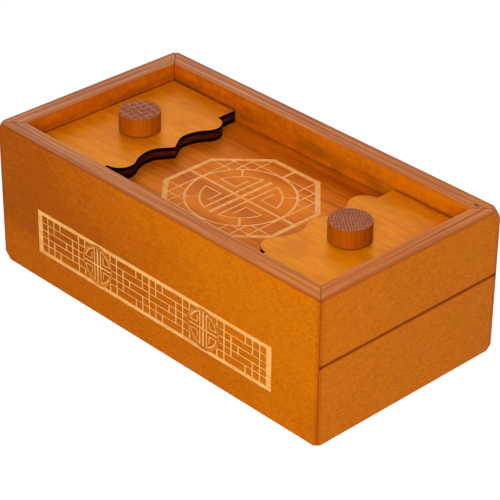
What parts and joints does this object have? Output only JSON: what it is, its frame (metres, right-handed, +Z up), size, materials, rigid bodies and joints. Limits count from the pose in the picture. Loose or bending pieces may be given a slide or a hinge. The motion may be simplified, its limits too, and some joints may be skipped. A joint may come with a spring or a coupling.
{
  "type": "puzzle box",
  "caption": "Rectangular wooden puzzle box with knobbed slide plates in a sunk top, an engraved centre panel, a flat upper compartment and a hidden drawer in one end.",
  "frame": {"origin": "middle of the underside", "axes": "+X along the length towards the drawer end, +Y towards the plain long side, +Z up"},
  "size_m": [0.17, 0.089, 0.0589],
  "materials": {
    "stained_wood": "orange-brown stain under thin satin lacquer, fine even grain",
    "plate_wood": "honey stain under satin lacquer, laser-darkened edges",
    "panel_wood": "orange-brown stain, engraved medallion in pale bare wood",
    "knob_wood": "stained dowel with dark sawn end grain",
    "plain_wood": "unstained plywood, sanded",
    "steel": "zinc-plated screws",
    "magnet": "nickel-plated discs"
  },
  "bodies": {
    "case": {"near_side_wall": "stained_wood", "far_side_wall": "stained_wood", "left_end_wall": "stained_wood", "right_end_wall": "stained_wood", "bottom_panel": "plain_wood", "divider_panel": "plain_wood", "medallion_panel": "panel_wood", "case_magnet_near": "magnet", "case_magnet_far": "magnet"},
    "left_slide": {"left_slide_plate": "plate_wood", "left_knob": "knob_wood", "left_knob_screw": "steel", "left_batten": "plain_wood", "left_keeper": "plain_wood", "left_keeper_screw_near": "steel", "left_keeper_screw_far": "steel"},
    "right_slide": {"right_slide_plate": "plate_wood", "right_knob": "knob_wood", "right_knob_screw": "steel", "right_batten": "plain_wood", "right_keeper": "plain_wood", "right_keeper_screw_near": "steel", "right_keeper_screw_far": "steel"},
    "drawer": {"drawer_front": "stained_wood", "drawer_near_side": "plain_wood", "drawer_far_side": "plain_wood", "drawer_back": "plain_wood", "drawer_floor": "plain_wood", "drawer_magnet_near": "magnet", "drawer_magnet_far": "magnet"}
  },
  "joints": [
    {"name": "left_plate_slide", "type": "slide", "parent": "case", "child": "left_slide", "axis": [1, 0, 0], "range_m": [0, 0.024]},
    {"name": "right_plate_slide", "type": "slide", "parent": "case", "child": "right_slide", "axis": [-1, 0, 0], "range_m": [-0.0006, 0.0234]},
    {"name": "drawer_slide", "type": "slide", "parent": "case", "child": "drawer", "axis": [1, 0, 0], "range_m": [0, 0.125]}
  ]
}
